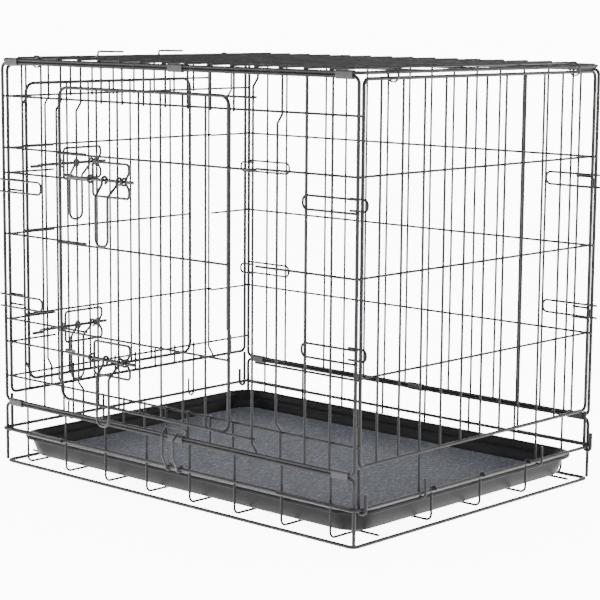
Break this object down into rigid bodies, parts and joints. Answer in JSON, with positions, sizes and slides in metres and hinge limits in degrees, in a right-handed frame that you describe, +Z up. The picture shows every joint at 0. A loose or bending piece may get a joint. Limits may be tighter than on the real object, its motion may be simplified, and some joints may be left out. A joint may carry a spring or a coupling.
{
  "type": "wire dog crate",
  "caption": "Folding wire dog crate with outward doors on a long side and an end, slide-bolt latches, hung end walls, a pull-out plastic tray and a fabric mat.",
  "frame": {"origin": "on the floor, under the middle of the base", "axes": "+X along the long side away from the end door, -Y out of the front door, +Z up"},
  "size_m": [0.6885, 0.5223, 0.5676],
  "materials": {
    "frame_wire": "black powder coat on steel wire, satin",
    "mesh_wire": "black powder coat on thin steel wire, satin",
    "latch_wire": "black powder coat, rubbed a little at the bends",
    "sleeve_metal": "rolled sheet sleeve, satin black",
    "tray_plastic": "moulded black plastic, fine pebble grain",
    "mat_fabric": "blue-grey heather felt with a bound edge"
  },
  "bodies": {
    "crate": {"back_wall_crossbars": "mesh_wire", "back_wall_frame": "frame_wire", "back_wall_hairpins": "mesh_wire", "back_wall_uprights": "mesh_wire", "base_bottom_frame": "frame_wire", "base_cross_wires": "mesh_wire", "base_end_rails": "frame_wire", "base_long_wires": "mesh_wire", "base_side_rails": "frame_wire", "front_wall_crossbars": "mesh_wire", "front_wall_frame": "frame_wire", "front_wall_hairpins": "mesh_wire", "front_wall_uprights": "mesh_wire", "hinge_sleeves": "sleeve_metal", "hog_rings": "latch_wire", "roof_hooks": "latch_wire", "top_cross_wires": "mesh_wire", "top_frame": "frame_wire", "top_long_wires": "mesh_wire"},
    "left_end_wall": {"left_wall_crossbars": "mesh_wire", "left_wall_frame": "frame_wire", "left_wall_hooks": "mesh_wire", "left_wall_tabs": "mesh_wire", "left_wall_uprights": "mesh_wire"},
    "right_end_wall": {"right_wall_crossbars": "mesh_wire", "right_wall_frame": "frame_wire", "right_wall_hooks": "mesh_wire", "right_wall_tabs": "mesh_wire", "right_wall_uprights": "mesh_wire"},
    "front_door": {"front_door_crossbars": "mesh_wire", "front_door_frame": "frame_wire", "front_door_uprights": "mesh_wire", "front_lower_keeper": "latch_wire", "front_upper_keeper": "latch_wire"},
    "end_door": {"end_door_crossbars": "mesh_wire", "end_door_frame": "frame_wire", "end_door_uprights": "mesh_wire", "end_lower_keeper": "latch_wire", "end_upper_keeper": "latch_wire"},
    "tray": {"tray": "tray_plastic", "mat": "mat_fabric"},
    "front_clip": {"front_clip": "latch_wire"},
    "end_lower_bolt": {"end_lower_bolt": "latch_wire"},
    "end_lower_handle": {"end_lower_handle": "latch_wire"},
    "end_upper_bolt": {"end_upper_bolt": "latch_wire"},
    "end_upper_handle": {"end_upper_handle": "latch_wire"},
    "front_lower_bolt": {"front_lower_bolt": "latch_wire"},
    "front_lower_handle": {"front_lower_handle": "latch_wire"},
    "front_upper_bolt": {"front_upper_bolt": "latch_wire"},
    "front_upper_handle": {"front_upper_handle": "latch_wire"}
  },
  "joints": [
    {"name": "left_end_wall_swing", "type": "hinge", "parent": "crate", "child": "left_end_wall", "pos_m": [-0.32, 0, 0.55], "axis": [0, 1, 0], "range_deg": [-58, 0], "deforming": ["left_wall_hooks"]},
    {"name": "right_end_wall_swing", "type": "hinge", "parent": "crate", "child": "right_end_wall", "pos_m": [0.32, 0, 0.55], "axis": [0, -1, 0], "range_deg": [-84, 0], "deforming": ["right_wall_hooks"]},
    {"name": "front_door_swing", "type": "hinge", "parent": "crate", "child": "front_door", "pos_m": [0.16, -0.2473, 0.312], "axis": [0, 0, 1], "range_deg": [0, 165]},
    {"name": "end_door_swing", "type": "hinge", "parent": "left_end_wall", "child": "end_door", "pos_m": [-0.3273, 0.16, 0.312], "axis": [0, 0, -1], "range_deg": [0, 165]},
    {"name": "front_upper_bolt_slide", "type": "slide", "parent": "front_door", "child": "front_upper_bolt", "axis": [1, 0, 0], "range_m": [-0.016, 0]},
    {"name": "front_upper_handle_swing", "type": "hinge", "parent": "front_upper_bolt", "child": "front_upper_handle", "pos_m": [-0.1, -0.25605, 0.409], "axis": [-1, 0, 0], "range_deg": [0, 100]},
    {"name": "front_lower_bolt_slide", "type": "slide", "parent": "front_door", "child": "front_lower_bolt", "axis": [1, 0, 0], "range_m": [-0.016, 0]},
    {"name": "front_lower_handle_swing", "type": "hinge", "parent": "front_lower_bolt", "child": "front_lower_handle", "pos_m": [-0.1, -0.25605, 0.175], "axis": [-1, 0, 0], "range_deg": [0, 100]},
    {"name": "end_upper_bolt_slide", "type": "slide", "parent": "end_door", "child": "end_upper_bolt", "axis": [0, 1, 0], "range_m": [-0.016, 0]},
    {"name": "end_upper_handle_swing", "type": "hinge", "parent": "end_upper_bolt", "child": "end_upper_handle", "pos_m": [-0.33605, -0.1, 0.409], "axis": [0, 1, 0], "range_deg": [0, 100]},
    {"name": "end_lower_bolt_slide", "type": "slide", "parent": "end_door", "child": "end_lower_bolt", "axis": [0, 1, 0], "range_m": [-0.016, 0]},
    {"name": "end_lower_handle_swing", "type": "hinge", "parent": "end_lower_bolt", "child": "end_lower_handle", "pos_m": [-0.33605, -0.1, 0.175], "axis": [0, 1, 0], "range_deg": [0, 100]},
    {"name": "tray_slide", "type": "slide", "parent": "crate", "child": "tray", "axis": [-1, 0, 0], "range_m": [0, 0.6]},
    {"name": "front_clip_swing", "type": "hinge", "parent": "crate", "child": "front_clip", "pos_m": [0.015, -0.24, 0.0481], "axis": [1, 0, 0], "range_deg": [0, 110]}
  ]
}
